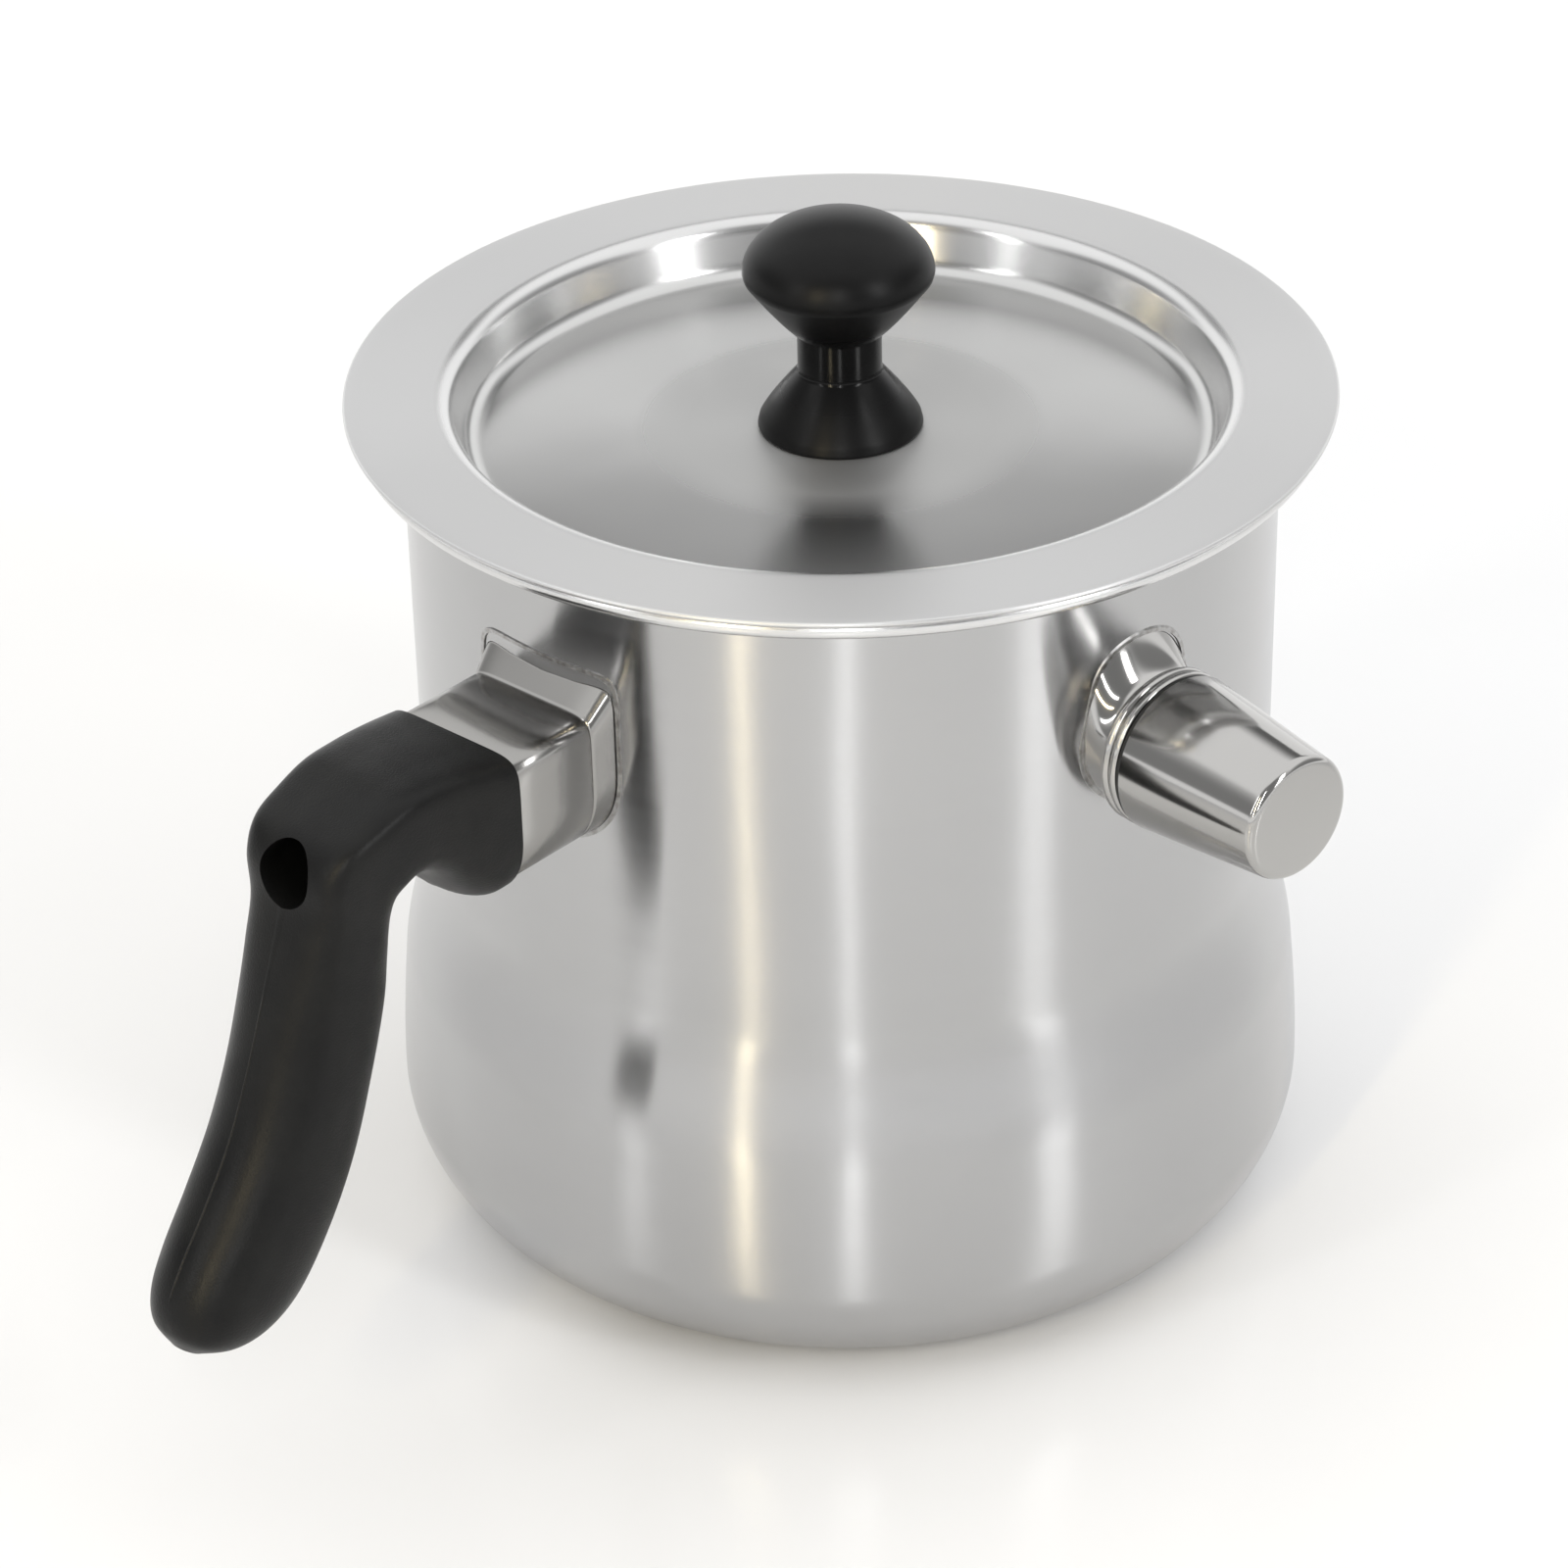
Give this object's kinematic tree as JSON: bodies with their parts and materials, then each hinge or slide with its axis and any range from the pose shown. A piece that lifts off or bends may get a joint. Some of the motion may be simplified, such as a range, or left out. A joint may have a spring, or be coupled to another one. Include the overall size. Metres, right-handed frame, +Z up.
{
  "type": "candle melting pot",
  "caption": "Double-walled steel melting pot with a lift-off dished lid and knob, a side grip and a pull-off whistle cap on its filler spout.",
  "frame": {"origin": "centre of the pot's flat underside, on the pot's axis", "axes": "+Z up along the pot's axis, the handle points along -X and the filler spout towards -Y, 81 degrees round from the handle"},
  "size_m": [0.2687, 0.21, 0.1982],
  "materials": {
    "polished_steel": "mirror-polished stainless sheet",
    "liner_steel": "satin stainless sheet",
    "weld_steel": "brushed weld",
    "fastener_steel": "plain stainless fastener",
    "phenolic": "fine matte black phenolic",
    "knob_phenolic": "smooth satin black phenolic",
    "silicone": "black silicone",
    "brass": "plain brass"
  },
  "bodies": {
    "pot": {"outer_jacket": "polished_steel", "inner_liner": "liner_steel", "rim_weld": "weld_steel", "filler_spout": "polished_steel", "spout_weld": "weld_steel", "handle_bracket": "polished_steel", "bracket_weld": "weld_steel", "bracket_nut_plate": "fastener_steel", "handle_ferrule": "polished_steel", "handle_grip": "phenolic", "handle_screw": "fastener_steel", "handle_flat_washer": "fastener_steel", "handle_spring_washer": "fastener_steel"},
    "lid": {"lid_shell": "polished_steel", "lid_knob": "knob_phenolic", "knob_insert": "brass", "knob_screw": "fastener_steel", "knob_washer": "fastener_steel"},
    "whistle": {"whistle_cap": "polished_steel", "whistle_barrel": "fastener_steel", "whistle_seal": "silicone", "whistle_inner_plate": "brass", "whistle_spacer": "fastener_steel", "whistle_outer_plate": "brass", "whistle_retainer": "fastener_steel"}
  },
  "joints": [
    {"name": "lid_lift", "type": "slide", "parent": "pot", "child": "lid", "axis": [0, 0, 1], "range_m": [0, 0.09]},
    {"name": "whistle_pull", "type": "slide", "parent": "pot", "child": "whistle", "axis": [-0.1564, -0.9877, 0], "range_m": [0, 0.045]}
  ]
}
